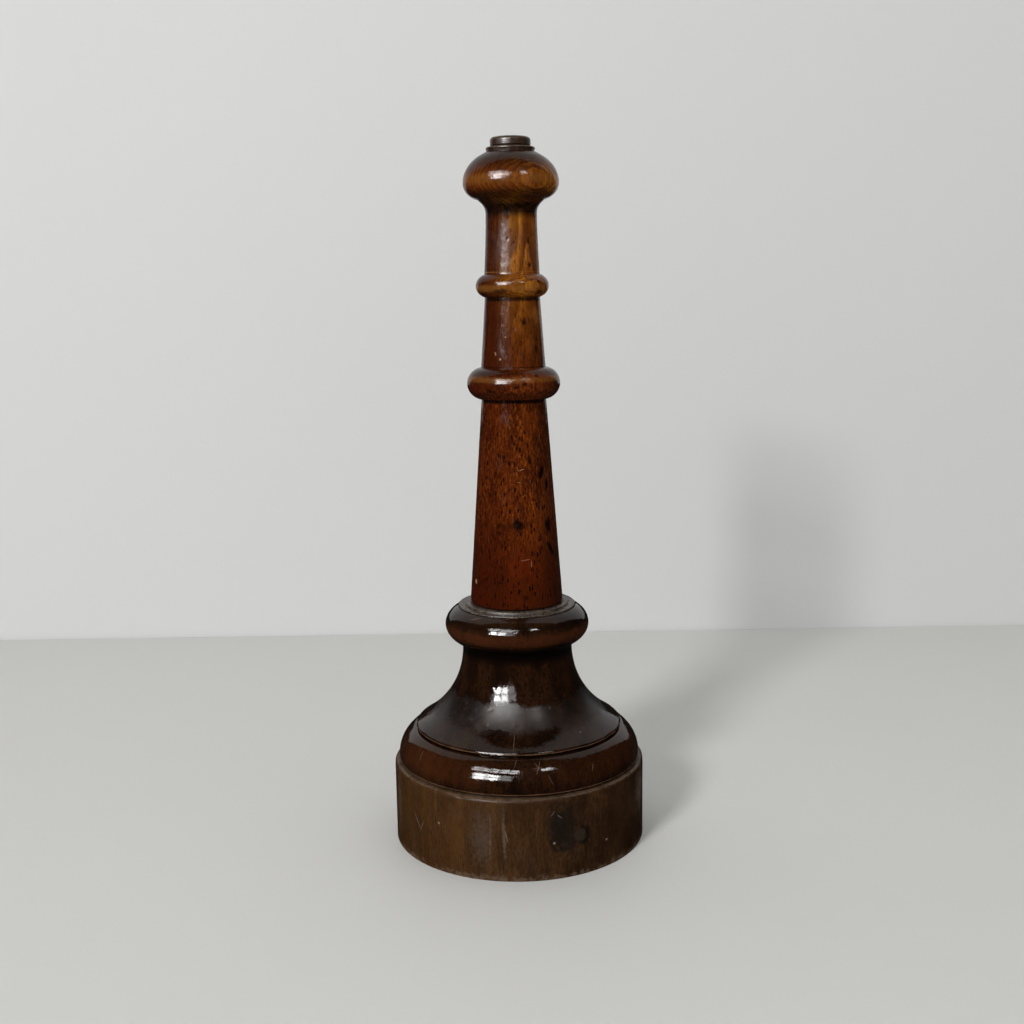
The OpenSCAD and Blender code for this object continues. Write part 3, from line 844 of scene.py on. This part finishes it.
foot_r, column_low = 26.8, 139.9
shaft_mid_r, shaft_top_r = 18.3, 15.6
ring_low_z, ring_low_r, ring_low_a, ring_low_b = 265.9, 26.4, 9.5, 9.15
ring_top_z, ring_top_r, ring_top_a, ring_top_b = 319.9, 20.6, 7.9, 6.85
throat_r, throat_z, cove_r = 14.4, 359.2, 7.8
knob_r, knob_z, knob_top_z = 26.7, 375.6, 391.9
cheek_a, cheek_b, crown_a, crown_b = 10.9, 9.4, 23, 18.25
tenon_r, tenon_low, column_bore = 20.7, 112.0, 5.6


def shaft_ring(z, r_max, a, b, r_below, r_above):
    """A ring standing out from the shaft."""
    mid = r_max - a
    return arc(mid, z, a, b, -angle_at_x(mid, a, r_below), angle_at_x(mid, a, r_above), 36)


ring_top_end = ring_top_z + ring_top_b
column_outside = filled(
    [(tenon_r, column_low), (foot_r - 0.5, column_low), (foot_r, column_low + 0.5)]
    + shaft_ring(ring_low_z, ring_low_r, ring_low_a, ring_low_b, shaft_mid_r + 0.1, shaft_mid_r)
    + shaft_ring(ring_top_z, ring_top_r, ring_top_a, ring_top_b, shaft_top_r, shaft_top_r)
    + curve(
        (shaft_top_r - 0.1, ring_top_end), (shaft_top_r - 0.6, ring_top_end + 10),
        (throat_r, throat_z - 12), (throat_r, throat_z), 24,
    )
    + arc(throat_r + cove_r, throat_z, cove_r, cove_r, 180, 125, 10)
    + arc(knob_r - cheek_a, knob_z, cheek_a, cheek_b, -75, 0, 22)
    + arc(knob_r - crown_a, knob_z, crown_a, crown_b, 4, angle_at_z(knob_z, crown_b, knob_top_z), 26)
    + [(column_bore, knob_top_z)],
    0.9,
)
column_inside = filled(
    [
        (column_bore, knob_top_z - 1), (column_bore, tenon_low),
        (tenon_r - 1, tenon_low), (tenon_r, tenon_low + 1),
    ],
    8,
)


def column_radius(z):
    """Rough radius of the outside of the column at a height."""
    return min(column_outside, key=lambda p: abs(p[1] - z))[0]


column_knocks = dents(37, 120, 145, 390, column_radius, (0.5, 1.5), (0.06, 0.28))


def column_lost(p):
    """Wear, more of it where hands hold the top, gouges low down, and knocks all over."""
    worn = 0.1 * unevenness(p, 20) + 0.06 * unevenness(p, 3.4, 3) + 0.03 * unevenness(p, 1.5, 1.5)
    held = smooth(p.z, 270, 300)
    worn += 0.07 * held * unevenness(p, 2.4, 1.2)
    gouge = smooth(unevenness(p, 2.2, 4), 0.78, 0.92)
    worn += 0.16 * gouge * smooth(p.z, 260, 240)
    top = smooth(p.z, knob_top_z, knob_top_z - 1.5)
    return (worn + dented(p, column_knocks)) * smooth(p.z, column_low, column_low + 1.2) * top


def column_wood():
    made, tree, shader = new_material("column_wood")
    red_brown, deep_red, dark_patch = (0.115, 0.019, 0.003), (0.054, 0.005, 0.0011), (0.044, 0.0068, 0.0014)
    gold_dark, gold_pale, knob_gold = (0.25, 0.07, 0.006), (0.52, 0.19, 0.015), (0.17, 0.04, 0.0044)
    grain_gold, grain_red, grain_dark = (0.25, 0.062, 0.008), (0.105, 0.011, 0.0026), (0.022, 0.004, 0.0011)
    streak, ring_line, pore_dirt = (0.038, 0.0062, 0.0014), (0.05, 0.0095, 0.002), (0.0075, 0.0024, 0.001)
    darker_left, darker_right = (0.027, 0.0036, 0.001), (0.024, 0.0075, 0.003)
    shade_and_grime_tone, bared = (0.006, 0.0024, 0.0012), (0.26, 0.105, 0.02)
    figure = placed(tree, wood_figure, Pith_X=-26.0, Pith_Y=46.0, Ring_Spacing=1.7, Waviness=7.0)
    skin = placed(tree, old_varnish, Ripple=0.17, Grain=0.016, Tool_Lines=0.008)
    height = axes_in_mm(tree)[2]
    # deep red at the foot, red-brown above, bleached gold on the right above the lower ring
    low_down = ramp(tree, height, 200, 150)
    patches = ramp(tree, figure["Clouds"], 0.38, 0.62)
    colour = mix(tree, patches, dark_patch, mix(tree, low_down, red_brown, deep_red))
    golden = times(tree, side_mask(tree, 30.0, -0.2, 1.0, 0.4), ramp(tree, height, 268, 345, 0.03, 1.0))
    colour = mix(tree, golden, colour, mix(tree, patches, gold_dark, gold_pale))
    on_knob = times(tree, side_mask(tree, -32.0, 0.35, 1.0, 0.25), ramp(tree, height, 364, 372))
    colour = tinted(tree, colour, on_knob, 0.8, knob_gold)
    # ticks of grain, streaks, growth rings and pores
    smoother_above = ramp(tree, height, 258, 285, 1.0, 0.45)
    grain = times(tree, ramp(tree, height, 150, 215, 0.45, 0.85), smoother_above)
    bright_grain = times(tree, ramp(tree, figure["Ticks"], 0.5, 0.66), grain)
    colour = mix(tree, bright_grain, colour, mix(tree, low_down, grain_gold, grain_red))
    dark_grain = times(tree, ramp(tree, figure["Ticks"], 0.48, 0.36), smoother_above)
    colour = tinted(tree, colour, dark_grain, 0.75, grain_dark)
    colour = tinted(tree, colour, ramp(tree, figure["Fibres"], 0.46, 0.62), 0.4, streak)
    colour = tinted(tree, colour, figure["Rings"], ramp(tree, height, 250, 345, 0.32, 0.68), ring_line)
    colour = tinted(tree, colour, figure["Pores"], ramp(tree, height, 268, 225, 0.45, 0.95), pore_dirt)
    # the wood is darker towards the left and right sides
    left = times(tree, ramp(tree, height, 368, 358, 0.25, 0.74), ramp(tree, height, 250, 272, 0.55, 1.0))
    colour = tinted(tree, colour, side_mask(tree, -66.0, 0.15, 0.95, 0.2), left, darker_left)
    right = ramp(tree, height, 262, 315, 0.45, 0.12)
    colour = tinted(tree, colour, side_mask(tree, 80.0, 0.5, 0.98, 0.18), right, darker_right)
    # painted shade under the rings, in the cove and over the knob's top, with dirt in the joints
    for z, half, strength in column_shade_and_grime:
        colour = tinted(tree, colour, band_mask(tree, z, half, 0.1), strength, shade_and_grime_tone)
    for z, half, strength in column_rubbed:
        colour = tinted(tree, colour, band_mask(tree, z, half, 0.3), strength, bared)
    colour = with_marks(tree, colour, column_marks)
    # the varnish is duller where hands have held the upper part
    held = times(tree, band_mask(tree, 340.0, 24.0, 0.25), 0.16)
    held = plus(tree, held, ramp(tree, height, 252, 260, 0.0, 0.07))
    roughness = plus(tree, ramp(tree, skin["Dull"], 0.0, 1.0, 0.06, 0.2), held)
    set_finish(tree, shader, colour, roughness, skin["Height"])
    shader.inputs["Specular IOR Level"].default_value = 0.22
    return made


# dark bands of painted shade and dirt under and over the rings, in the joints, in the cove under the knob and
# over the knob's top, and where the finish is rubbed through: (height, half width, strength)
column_shade_and_grime = [
    (256.6, 2.0, 0.95), (312.6, 1.8, 0.9), (275.4, 0.5, 0.6), (140.3, 0.8, 0.8),
    (392.5, 17.0, 0.93), (260.0, 3.5, 0.45), (273.0, 2.2, 0.5), (361.5, 7.0, 1.0), (368.0, 5.0, 0.8),
]
column_rubbed = [(327.3, 0.35, 0.7), (269.0, 2.6, 0.35), (318.5, 3.2, 0.45), (376.5, 4.6, 0.35)]
spot, nicked, packed = (0.01, 0.003, 0.0014), (0.34, 0.17, 0.09), (0.005, 0.002, 0.0012)
knot, halo, knob_line = (0.004, 0.0016, 0.001), (0.022, 0.005, 0.0014), (0.04, 0.0095, 0.0024)
red_blotch, dark_blotch, gold_blotch = (0.105, 0.012, 0.002), (0.016, 0.004, 0.0014), (0.24, 0.08, 0.009)
column_marks = [
    # the knot and its halo
    (3.5, 188, 4.2, 3.6, 0, 0.3, 0.6, 1.0, knot),
    (-6, 187.5, 8.5, 3.2, 0, 0.5, 0.9, 0.65, halo),
    # scratches, a dash and a blotch below it
    (20, 166, 0.35, 2.4, 0, 0.2, 0.5, 0.8, nicked),
    (12, 168.5, 3.4, 0.3, 6, 0.2, 0.5, 0.7, nicked),
    (22, 162, 0.5, 2.8, 0, 0.3, 0.5, 0.8, spot),
    (-22, 155.6, 3.0, 0.7, -8, 0.3, 0.5, 0.85, spot),
    (12, 147, 3.2, 1.8, 0, 0.6, 0.7, 0.7, spot),
    (-63, 154, 1.2, 1.6, 20, 0.4, 0.4, 0.85, nicked),
    (8, 166, 9.0, 11, 0, 0.7, 0.9, 0.45, red_blotch),
    # gouges full of dirt down the right side
    (44, 217, 1.9, 5.2, -18, 0.4, 0.5, 1.0, packed),
    (54, 209.5, 1.7, 5.0, -14, 0.4, 0.5, 1.0, packed),
    (52, 187, 3.6, 5.2, -12, 0.4, 0.6, 1.0, packed),
    (54, 173, 1.9, 6.0, 28, 0.4, 0.5, 1.0, packed),
    (23, 224.5, 1.3, 3.0, 0, 0.5, 0.6, 0.85, spot),
    (-18, 226, 1.4, 2.6, 0, 0.5, 0.6, 0.8, spot),
    (-40, 205, 1.5, 2.4, 0, 0.5, 0.6, 0.75, spot),
    (-48, 214, 2.2, 1.6, 0, 0.6, 0.7, 0.7, spot),
    (16, 240, 1.1, 2.2, 0, 0.5, 0.6, 0.75, spot),
    (38, 234, 3.5, 7.0, 0, 0.7, 0.9, 0.6, spot),
    (58, 150, 4.0, 5.0, 0, 0.7, 0.9, 0.5, dark_blotch),
    (10, 219, 2.0, 0.3, 14, 0.3, 0.5, 0.8, nicked),
    (6, 212, 1.6, 0.25, -12, 0.3, 0.5, 0.7, nicked),
    # between the rings and above them
    (-24, 280, 0.8, 0.8, 0, 0.5, 0.4, 0.9, nicked),
    (-34, 283, 0.6, 1.2, 20, 0.5, 0.4, 0.7, nicked),
    (-14, 292, 0.7, 0.7, 0, 0.5, 0.4, 0.9, nicked),
    (22, 300, 1.4, 2.6, 0, 0.5, 0.6, 0.85, spot),
    (46, 285, 1.2, 3.6, 0, 0.5, 0.6, 0.85, spot),
    (52, 304, 6.5, 6.0, 0, 0.7, 0.9, 0.6, gold_blotch),
    (38, 344, 0.8, 2.2, 0, 0.4, 0.5, 0.85, spot),
    (40, 331, 1.3, 1.4, 0, 0.4, 0.5, 0.8, spot),
    (-46, 343, 2.2, 3.4, 0, 0.6, 0.7, 0.6, spot),
    (45, 322, 1.3, 1.1, 0, 0.5, 0.6, 0.9, spot),
    (50, 316.5, 3.2, 2.0, 0, 0.7, 0.7, 0.8, spot),
    (-20, 317.0, 5.0, 1.8, 0, 0.7, 0.7, 0.7, spot),
    (4, 265, 2.2, 1.1, 0, 0.7, 0.6, 0.85, spot),
    (14, 266.6, 1.6, 1.6, 0, 0.7, 0.6, 0.85, spot),
    (30, 271, 1.8, 1.1, 0, 0.7, 0.6, 0.8, spot),
    (-30, 263, 2.6, 1.4, 0, 0.7, 0.6, 0.8, spot),
    (-10, 376, 14.0, 1.6, 3, 0.7, 0.8, 0.35, knob_line),
]

column = turned("column_wood", column_outside, column_inside, 176, column_lost)
column.data.materials.append(column_wood())
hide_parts("column")
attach(column, "head")


# --- Finial -------------------------------------------------------------------------
# Two small buttons of dark wood on top of the knob. The lower is a washer pinned to the knob;
# the upper holds the brass nut and is screwed down on the spindle to set the grind.

washer_r, washer_low, washer_high, washer_bore = 13.6, 391.94, 394.64, 5.4
nut_r, nut_low, nut_bore = 11.2, 394.84, 5.2
total_h = cad_high[2] / mm


def finial_lost(p):
    """Wear, less of it on the washer, and none round the bore."""
    worn = 0.05 * unevenness(p, 2.5) + 0.1 * smooth(unevenness(p, 4), 0.5, 0.9)
    return worn * smooth(math.hypot(p.x, p.y), 5.5, 8) * (0.25 if p.z < nut_low + 0.2 else 1.0)


def finial_wood():
    made, tree, shader = new_material("finial_wood")
    dark, brown, edge_wear_and_highlight = (0.03, 0.016, 0.009), (0.075, 0.04, 0.022), (0.12, 0.075, 0.045)
    dark_streak, dark_ring = (0.012, 0.006, 0.0035), (0.014, 0.007, 0.004)
    figure = placed(tree, wood_figure, Pith_X=10.0, Pith_Y=30.0, Ring_Spacing=1.3, Waviness=4.0)
    skin = placed(tree, old_varnish, Ripple=0.06, Grain=0.03, Tool_Lines=0.03)
    colour = mix(tree, figure["Clouds"], dark, brown)
    colour = tinted(tree, colour, ramp(tree, figure["Fibres"], 0.42, 0.64), 0.5, dark_streak)
    colour = tinted(tree, colour, figure["Rings"], 0.3, dark_ring)
    # paler rims on the nut and the washer: wear with a painted highlight
    for height, half in ((total_h - 0.5, 0.7), (washer_high - 0.3, 0.4)):
        colour = tinted(tree, colour, band_mask(tree, height, half, 0.5), 0.5, edge_wear_and_highlight)
    roughness = ramp(tree, skin["Dull"], 0.0, 1.0, 0.26, 0.45)
    set_finish(tree, shader, colour, roughness, skin["Height"])
    shader.inputs["Specular IOR Level"].default_value = 0.34
    return made


finial_varnish = finial_wood()
washer_outside = filled(
    [(washer_bore, washer_low), (washer_r - 0.4, washer_low)]
    + arc(washer_r - 0.9, washer_high - 0.9, 0.9, 0.9, -40, 90, 10)
    + [(washer_bore, washer_high)],
    0.5,
)
washer_inside = [(washer_bore, 393.3)]
finial_washer = turned("finial_washer_wood", washer_outside, washer_inside, 128, finial_lost)
nut_outside = filled(
    [(nut_bore, nut_low), (nut_r - 0.8, nut_low), (nut_r, nut_low + 0.8)]
    + arc(nut_r - 2, total_h - 2, 2, 2, 0, 80, 12)
    + [(nut_r - 3.5, total_h - 0.25), (0, total_h)],
    0.5,
)
nut_inside = [(0, total_h - 1.9), (nut_bore - 0.8, total_h - 1.9), (nut_bore, total_h - 2.7)]
finial_nut = turned("finial_nut_wood", nut_outside, nut_inside, 128, finial_lost)
for piece, node_name, body in ((finial_washer, "finial_washer", "head"), (finial_nut, "finial_nut", "nut")):
    piece.data.materials.append(finial_varnish)
    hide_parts(node_name)
    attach(piece, body)


# --- Table and wall -----------------------------------------------------------------
# A pale painted table top, and a pale plastered wall behind it with a narrow gap between
# them. Neither is part of the mill.

wall_y, wall_low, wall_high, gap, stage_half = 0.443, -0.05, 2.6, 0.0022, 3.0


def sheet_at(name, corners):
    """A flat sheet of the stage."""
    mesh = bpy.data.meshes.new(name)
    mesh.from_pydata(corners, [], [(0, 1, 2, 3)])
    sheet = bpy.data.objects.new(name, mesh)
    bpy.context.scene.collection.objects.link(sheet)
    return sheet


def paint(name, pale_tone, deep_tone, roughness, size):
    """Flat paint with faint clouds."""
    made, tree, shader = new_material(name)
    where = place_in_mm(tree)
    cloud = blur(tree, where, size, 3, 0.5)
    colour = mix(tree, cloud, pale_tone, deep_tone)
    grain = times(tree, blur(tree, where, 3, 3, 0.6), 0.05)
    set_finish(tree, shader, colour, ramp(tree, cloud, 0, 1, roughness, roughness + 0.05), grain)
    shader.inputs["Specular IOR Level"].default_value = 0.2
    return made


table_edge = wall_y - gap
table = sheet_at(
    "table_top",
    [
        (-stage_half, -stage_half, 0), (stage_half, -stage_half, 0),
        (stage_half, table_edge, 0), (-stage_half, table_edge, 0),
    ],
)
wall = sheet_at(
    "wall",
    [
        (-stage_half, wall_y, wall_low), (stage_half, wall_y, wall_low),
        (stage_half, wall_y, wall_high), (-stage_half, wall_y, wall_high),
    ],
)
table_paint = paint("table_paint", (0.675, 0.67, 0.645), (0.645, 0.64, 0.615), 0.5, 240)
wall_paint = paint("wall_paint", (0.68, 0.68, 0.67), (0.66, 0.66, 0.65), 0.8, 500)
table.data.materials.append(table_paint)
wall.data.materials.append(wall_paint)
table.visible_glossy = wall.visible_glossy = False


# --- Light --------------------------------------------------------------------------
# A near and a far paned window to the left of the camera, a narrow one to its right, a faint
# strip and the glow of the wall behind the mill show only in the gloss. A soft box on the left
# and a pale ceiling light only paint and wood, and the box casts the shadow.


mill_middle = Vector((0, 0, 0.2))


def lamp_panel(name, azimuth, out, height, size, power, seen_in_gloss=True, shift=(0.0, 0.0)):
    """A flat soft lamp facing the mill, at an azimuth counted from the camera, a distance out from
    the mill's axis and a height. It shows only in the gloss, or else only lights paint and wood."""
    light = bpy.data.lights.new(name, "AREA")
    light.shape = "RECTANGLE"
    light.size, light.size_y = size
    light.energy = power
    lamp = bpy.data.objects.new(name, light)
    a = math.radians(azimuth)
    place = Vector((out * math.sin(a), -out * math.cos(a), height))
    back = (place - mill_middle).normalized()
    side = Vector((math.cos(a), math.sin(a), 0))
    lamp.location = place + side * shift[0] + back.cross(side) * shift[1]
    lamp.rotation_euler = (-back).to_track_quat("-Z", "Y").to_euler()
    lamp.visible_glossy = seen_in_gloss
    lamp.visible_diffuse = not seen_in_gloss
    lamp.visible_camera = False
    bpy.context.scene.collection.objects.link(lamp)


def paned_window(name, azimuth, out, height, pane, bar, columns):
    """A window of two rows of panes with bars between them: columns are (place, power) pairs."""
    for across, power in columns:
        for row in (0, 1):
            shift = (across * (pane[0] + bar), (row - 0.5) * (pane[1] + bar))
            label = f"{name}_{across + 2}_{row}"
            lamp_panel(label, azimuth, out, height, pane, power, shift=shift)


near_columns = [(across, 0.34) for across in (-2, -1, 0, 1, 2)]
far_columns = [(-1, 13.0), (0, 10.4), (1, 1.56)]
paned_window("near_window", -28, 0.52, 0.66, (0.085, 0.065), 0.02, near_columns)
paned_window("far_window", -26, 1.5, 0.87, (0.32, 0.25), 0.05, far_columns)
lamp_panel("narrow_window", 34, 0.5, 0.66, (0.13, 0.08), 0.7)
lamp_panel("tall_strip", -14, 0.9, 0.42, (0.08, 0.3), 0.035)
lamp_panel("wall_glow", 180, 0.43, 0.62, (1.5, 1.2), 3.2)
lamp_panel("soft_box", -30, 3.2, 1.95, (0.62, 0.62), 84.0, seen_in_gloss=False)
lamp_panel("ceiling", 62, 0.75, 2.36, (2.4, 2.4), 8.5, seen_in_gloss=False)

room = bpy.data.worlds.new("room")
room.use_nodes = True
sky = room.node_tree
sky.nodes.clear()
glossy = new_node(sky, "ShaderNodeLightPath").outputs["Is Glossy Ray"]
room_light, room_in_gloss = 0.36, 0.012
ambient = ramp(sky, glossy, 0.0, 1.0, room_light, room_in_gloss)
backdrop = new_node(sky, "ShaderNodeBackground", {"Color": (0.97, 0.985, 1.0, 1), "Strength": ambient})
sky.links.new(backdrop.outputs[0], new_node(sky, "ShaderNodeOutputWorld").inputs[0])
bpy.context.scene.world = room
bpy.context.scene.view_settings.view_transform = "Standard"


# --- Camera -------------------------------------------------------------------------
# At a person's height over a low table, tilted down and very slightly rolled.

camera_place = (-0.002, -0.7265, 0.3182)
tilt_down, roll, focal_mm = 9.87, -0.85, 45.09
lens = bpy.data.cameras.new("camera")
lens.sensor_width = 36
lens.lens = focal_mm
camera = bpy.data.objects.new("camera", lens)
camera.location = camera_place
camera.rotation_mode = "XYZ"
forward = Vector((0, math.cos(math.radians(tilt_down)), -math.sin(math.radians(tilt_down))))
turn = forward.to_track_quat("-Z", "Y").to_matrix()
camera.rotation_euler = (turn @ Matrix.Rotation(math.radians(roll), 3, "Z")).to_euler()
bpy.context.scene.collection.objects.link(camera)
bpy.context.scene.camera = camera
